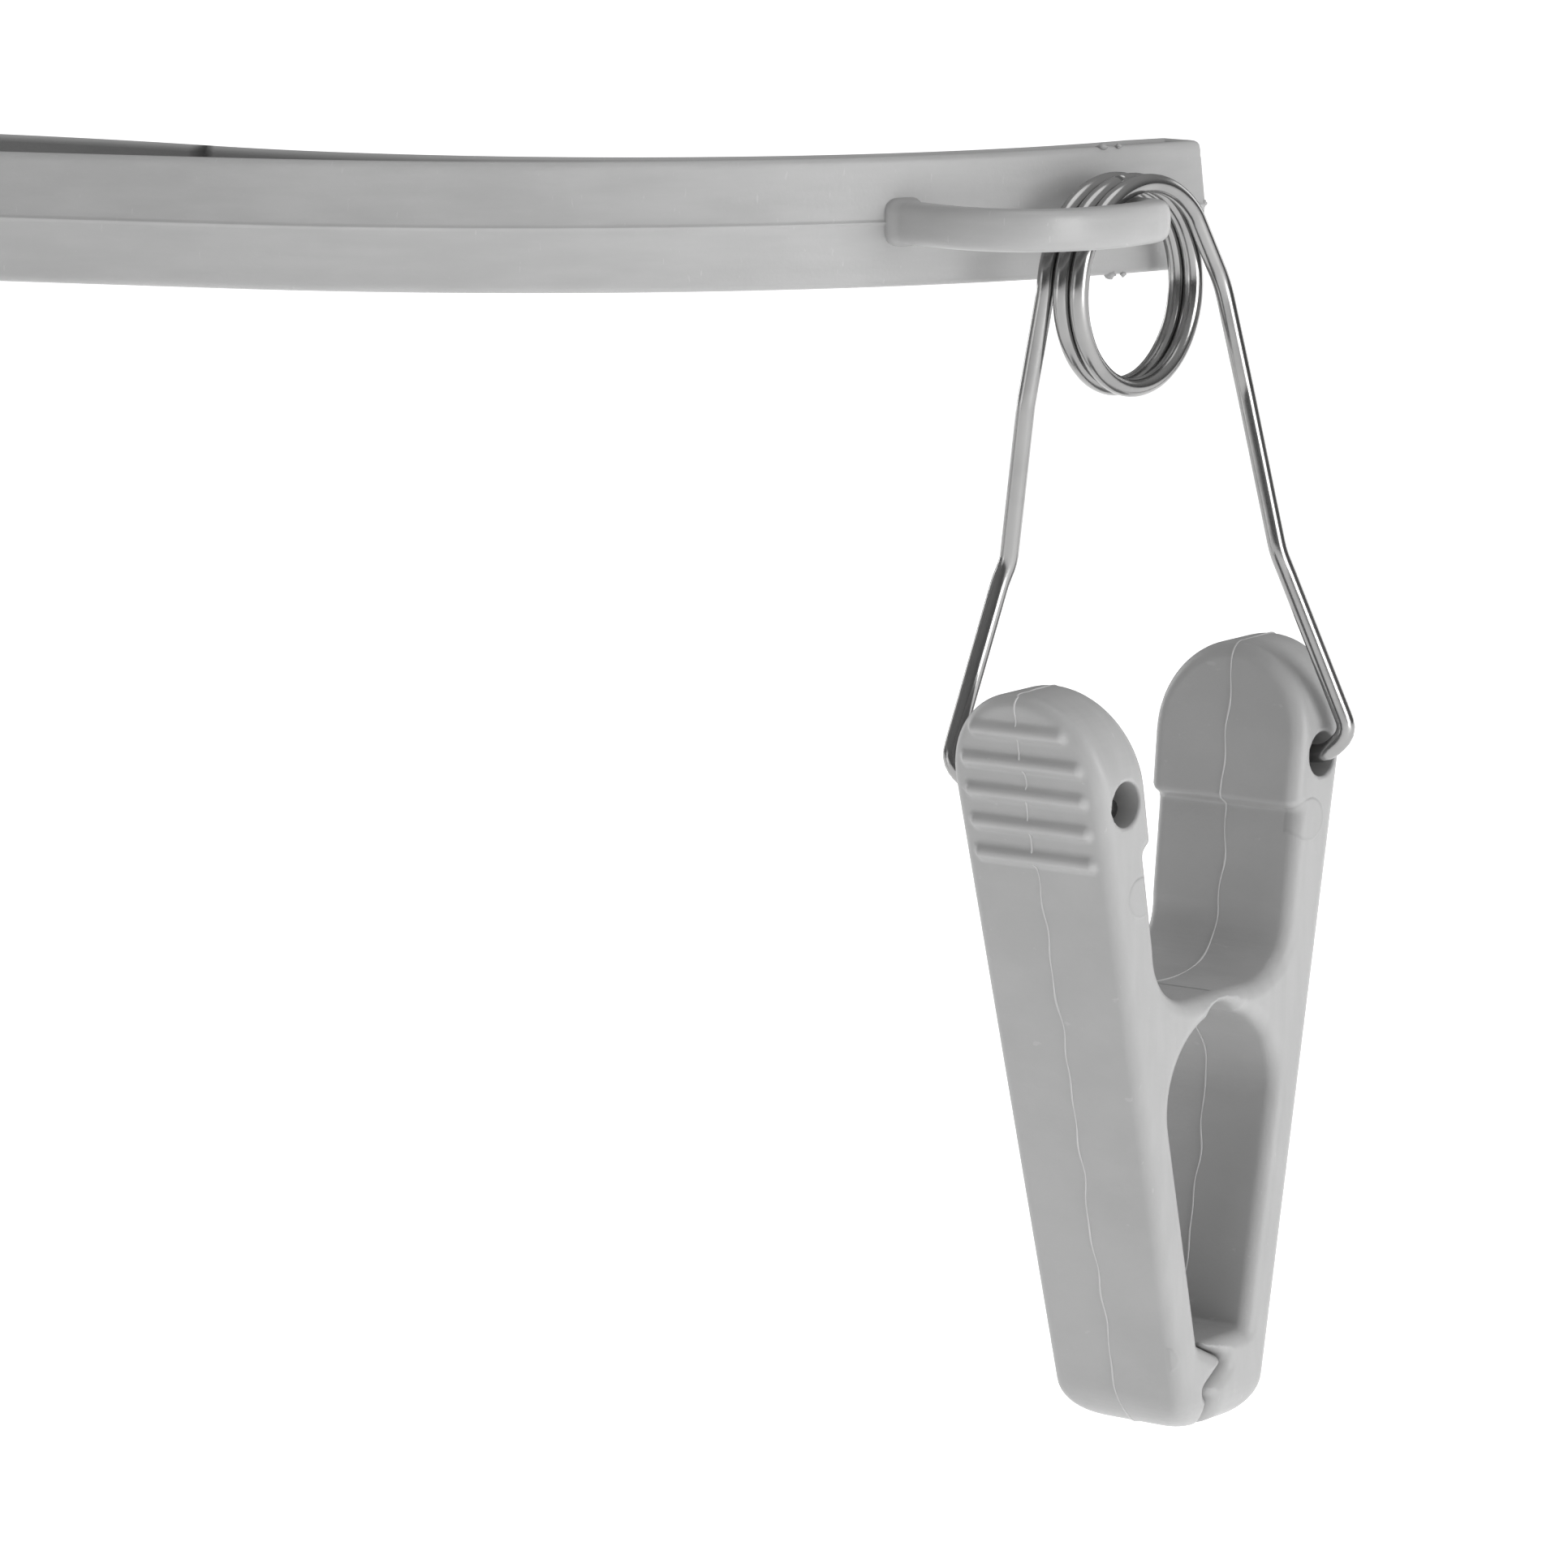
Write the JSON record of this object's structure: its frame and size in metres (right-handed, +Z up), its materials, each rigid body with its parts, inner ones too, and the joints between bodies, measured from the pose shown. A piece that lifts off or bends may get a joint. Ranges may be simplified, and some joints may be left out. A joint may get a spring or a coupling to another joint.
{
  "type": "hanging rotary clothes dryer",
  "caption": "Hanging rotary clothes dryer: a rail hook, a swivelling hub and curved arms whose loops carry spring clothes pegs.",
  "frame": {"origin": "middle of the rail that the hook sits on", "axes": "+Z up along the swivel axis, Y along the rail"},
  "size_m": [0.4546, 0.4546, 0.1862],
  "materials": {
    "arm_plastic": "moulded polypropylene, slight sheen",
    "hub_plastic": "moulded polypropylene, slight sheen",
    "hook_plastic": "moulded polypropylene, slight sheen",
    "peg_plastic": "moulded polypropylene, slight sheen",
    "spring_steel": "bright drawn wire",
    "fastener_steel": "zinc plated"
  },
  "bodies": {
    "hanger": {"hook": "hook_plastic", "swivel_screw": "fastener_steel", "swivel_washer": "fastener_steel"},
    "dryer": {"hub_upper_shell": "hub_plastic", "hub_lower_shell": "hub_plastic", "hub_screws": "fastener_steel", "arm_1": "arm_plastic", "arm_2": "arm_plastic", "arm_3": "arm_plastic", "arm_4": "arm_plastic"},
    "peg_1_hanging_spring": {"peg_1_spring": "spring_steel"},
    "peg_1_left": {"peg_1_left_lever": "peg_plastic"},
    "peg_1_right": {"peg_1_right_lever": "peg_plastic"},
    "peg_2_hanging_spring": {"peg_2_spring": "spring_steel"},
    "peg_2_left": {"peg_2_left_lever": "peg_plastic"},
    "peg_2_right": {"peg_2_right_lever": "peg_plastic"},
    "peg_3_hanging_spring": {"peg_3_spring": "spring_steel"},
    "peg_3_left": {"peg_3_left_lever": "peg_plastic"},
    "peg_3_right": {"peg_3_right_lever": "peg_plastic"},
    "peg_4_hanging_spring": {"peg_4_spring": "spring_steel"},
    "peg_4_left": {"peg_4_left_lever": "peg_plastic"},
    "peg_4_right": {"peg_4_right_lever": "peg_plastic"},
    "peg_5_hanging_spring": {"peg_5_spring": "spring_steel"},
    "peg_5_left": {"peg_5_left_lever": "peg_plastic"},
    "peg_5_right": {"peg_5_right_lever": "peg_plastic"},
    "peg_6_hanging_spring": {"peg_6_spring": "spring_steel"},
    "peg_6_left": {"peg_6_left_lever": "peg_plastic"},
    "peg_6_right": {"peg_6_right_lever": "peg_plastic"},
    "peg_7_hanging_spring": {"peg_7_spring": "spring_steel"},
    "peg_7_left": {"peg_7_left_lever": "peg_plastic"},
    "peg_7_right": {"peg_7_right_lever": "peg_plastic"},
    "peg_8_hanging_spring": {"peg_8_spring": "spring_steel"},
    "peg_8_left": {"peg_8_left_lever": "peg_plastic"},
    "peg_8_right": {"peg_8_right_lever": "peg_plastic"}
  },
  "joints": [
    {"name": "hub_swivel", "type": "hinge", "parent": "hanger", "child": "dryer", "pos_m": [0, 0, -0.05781], "axis": [0, 0, 1], "continuous": true},
    {"name": "peg_1_swing", "type": "hinge", "parent": "dryer", "child": "peg_1_hanging_spring", "pos_m": [0.20889, -0.05086, -0.06546], "axis": [0.7738, -0.6334, 0], "range_deg": [-25, 25]},
    {"name": "peg_1_squeeze", "type": "hinge", "parent": "peg_1_hanging_spring", "child": "peg_1_left", "pos_m": [0.21134, -0.0504, -0.12696], "axis": [-0.7738, 0.6334, 0], "range_deg": [0, 8], "stiffness_Nm_per_rad": 0.05, "springref_deg": -11.46, "deforming": ["peg_1_spring"]},
    {"name": "peg_1_squeeze_right", "type": "hinge", "parent": "peg_1_hanging_spring", "child": "peg_1_right", "pos_m": [0.21134, -0.0504, -0.12696], "axis": [0.7738, -0.6334, 0], "range_deg": [0, 8]},
    {"name": "peg_2_swing", "type": "hinge", "parent": "dryer", "child": "peg_2_hanging_spring", "pos_m": [0.07868, -0.0421, -0.06546], "axis": [-0.0576, -0.9983, 0], "range_deg": [-25, 25]},
    {"name": "peg_2_squeeze", "type": "hinge", "parent": "peg_2_hanging_spring", "child": "peg_2_left", "pos_m": [0.08049, -0.0438, -0.12696], "axis": [0.0576, 0.9983, 0], "range_deg": [0, 8], "stiffness_Nm_per_rad": 0.05, "springref_deg": -11.46, "deforming": ["peg_2_spring"]},
    {"name": "peg_2_squeeze_right", "type": "hinge", "parent": "peg_2_hanging_spring", "child": "peg_2_right", "pos_m": [0.08049, -0.0438, -0.12696], "axis": [-0.0576, -0.9983, 0], "range_deg": [0, 8]},
    {"name": "peg_3_swing", "type": "hinge", "parent": "dryer", "child": "peg_3_hanging_spring", "pos_m": [0.05086, 0.20889, -0.06546], "axis": [0.6334, 0.7738, 0], "range_deg": [-25, 25]},
    {"name": "peg_3_squeeze", "type": "hinge", "parent": "peg_3_hanging_spring", "child": "peg_3_left", "pos_m": [0.0504, 0.21134, -0.12696], "axis": [-0.6334, -0.7738, 0], "range_deg": [0, 8], "stiffness_Nm_per_rad": 0.05, "springref_deg": -11.46, "deforming": ["peg_3_spring"]},
    {"name": "peg_3_squeeze_right", "type": "hinge", "parent": "peg_3_hanging_spring", "child": "peg_3_right", "pos_m": [0.0504, 0.21134, -0.12696], "axis": [0.6334, 0.7738, 0], "range_deg": [0, 8]},
    {"name": "peg_4_swing", "type": "hinge", "parent": "dryer", "child": "peg_4_hanging_spring", "pos_m": [0.0421, 0.07868, -0.06546], "axis": [0.9983, -0.0576, 0], "range_deg": [-25, 25]},
    {"name": "peg_4_squeeze", "type": "hinge", "parent": "peg_4_hanging_spring", "child": "peg_4_left", "pos_m": [0.0438, 0.08049, -0.12696], "axis": [-0.9983, 0.0576, 0], "range_deg": [0, 8], "stiffness_Nm_per_rad": 0.05, "springref_deg": -11.46, "deforming": ["peg_4_spring"]},
    {"name": "peg_4_squeeze_right", "type": "hinge", "parent": "peg_4_hanging_spring", "child": "peg_4_right", "pos_m": [0.0438, 0.08049, -0.12696], "axis": [0.9983, -0.0576, 0], "range_deg": [0, 8]},
    {"name": "peg_5_swing", "type": "hinge", "parent": "dryer", "child": "peg_5_hanging_spring", "pos_m": [-0.20889, 0.05086, -0.06546], "axis": [-0.7738, 0.6334, 0], "range_deg": [-25, 25]},
    {"name": "peg_5_squeeze", "type": "hinge", "parent": "peg_5_hanging_spring", "child": "peg_5_left", "pos_m": [-0.21134, 0.0504, -0.12696], "axis": [0.7738, -0.6334, 0], "range_deg": [0, 8], "stiffness_Nm_per_rad": 0.05, "springref_deg": -11.46, "deforming": ["peg_5_spring"]},
    {"name": "peg_5_squeeze_right", "type": "hinge", "parent": "peg_5_hanging_spring", "child": "peg_5_right", "pos_m": [-0.21134, 0.0504, -0.12696], "axis": [-0.7738, 0.6334, 0], "range_deg": [0, 8]},
    {"name": "peg_6_swing", "type": "hinge", "parent": "dryer", "child": "peg_6_hanging_spring", "pos_m": [-0.07868, 0.0421, -0.06546], "axis": [0.0576, 0.9983, 0], "range_deg": [-25, 25]},
    {"name": "peg_6_squeeze", "type": "hinge", "parent": "peg_6_hanging_spring", "child": "peg_6_left", "pos_m": [-0.08049, 0.0438, -0.12696], "axis": [-0.0576, -0.9983, 0], "range_deg": [0, 8], "stiffness_Nm_per_rad": 0.05, "springref_deg": -11.46, "deforming": ["peg_6_spring"]},
    {"name": "peg_6_squeeze_right", "type": "hinge", "parent": "peg_6_hanging_spring", "child": "peg_6_right", "pos_m": [-0.08049, 0.0438, -0.12696], "axis": [0.0576, 0.9983, 0], "range_deg": [0, 8]},
    {"name": "peg_7_swing", "type": "hinge", "parent": "dryer", "child": "peg_7_hanging_spring", "pos_m": [-0.05086, -0.20889, -0.06546], "axis": [-0.6334, -0.7738, 0], "range_deg": [-25, 25]},
    {"name": "peg_7_squeeze", "type": "hinge", "parent": "peg_7_hanging_spring", "child": "peg_7_left", "pos_m": [-0.0504, -0.21134, -0.12696], "axis": [0.6334, 0.7738, 0], "range_deg": [0, 8], "stiffness_Nm_per_rad": 0.05, "springref_deg": -11.46, "deforming": ["peg_7_spring"]},
    {"name": "peg_7_squeeze_right", "type": "hinge", "parent": "peg_7_hanging_spring", "child": "peg_7_right", "pos_m": [-0.0504, -0.21134, -0.12696], "axis": [-0.6334, -0.7738, 0], "range_deg": [0, 8]},
    {"name": "peg_8_swing", "type": "hinge", "parent": "dryer", "child": "peg_8_hanging_spring", "pos_m": [-0.0421, -0.07868, -0.06546], "axis": [-0.9983, 0.0576, 0], "range_deg": [-25, 25]},
    {"name": "peg_8_squeeze", "type": "hinge", "parent": "peg_8_hanging_spring", "child": "peg_8_left", "pos_m": [-0.0438, -0.08049, -0.12696], "axis": [0.9983, -0.0576, 0], "range_deg": [0, 8], "stiffness_Nm_per_rad": 0.05, "springref_deg": -11.46, "deforming": ["peg_8_spring"]},
    {"name": "peg_8_squeeze_right", "type": "hinge", "parent": "peg_8_hanging_spring", "child": "peg_8_right", "pos_m": [-0.0438, -0.08049, -0.12696], "axis": [-0.9983, 0.0576, 0], "range_deg": [0, 8]}
  ],
  "couplings": [
    {"joint": "peg_1_squeeze_right", "follows": "peg_1_squeeze", "ratio": 1},
    {"joint": "peg_2_squeeze_right", "follows": "peg_2_squeeze", "ratio": 1},
    {"joint": "peg_3_squeeze_right", "follows": "peg_3_squeeze", "ratio": 1},
    {"joint": "peg_4_squeeze_right", "follows": "peg_4_squeeze", "ratio": 1},
    {"joint": "peg_5_squeeze_right", "follows": "peg_5_squeeze", "ratio": 1},
    {"joint": "peg_6_squeeze_right", "follows": "peg_6_squeeze", "ratio": 1},
    {"joint": "peg_7_squeeze_right", "follows": "peg_7_squeeze", "ratio": 1},
    {"joint": "peg_8_squeeze_right", "follows": "peg_8_squeeze", "ratio": 1}
  ]
}
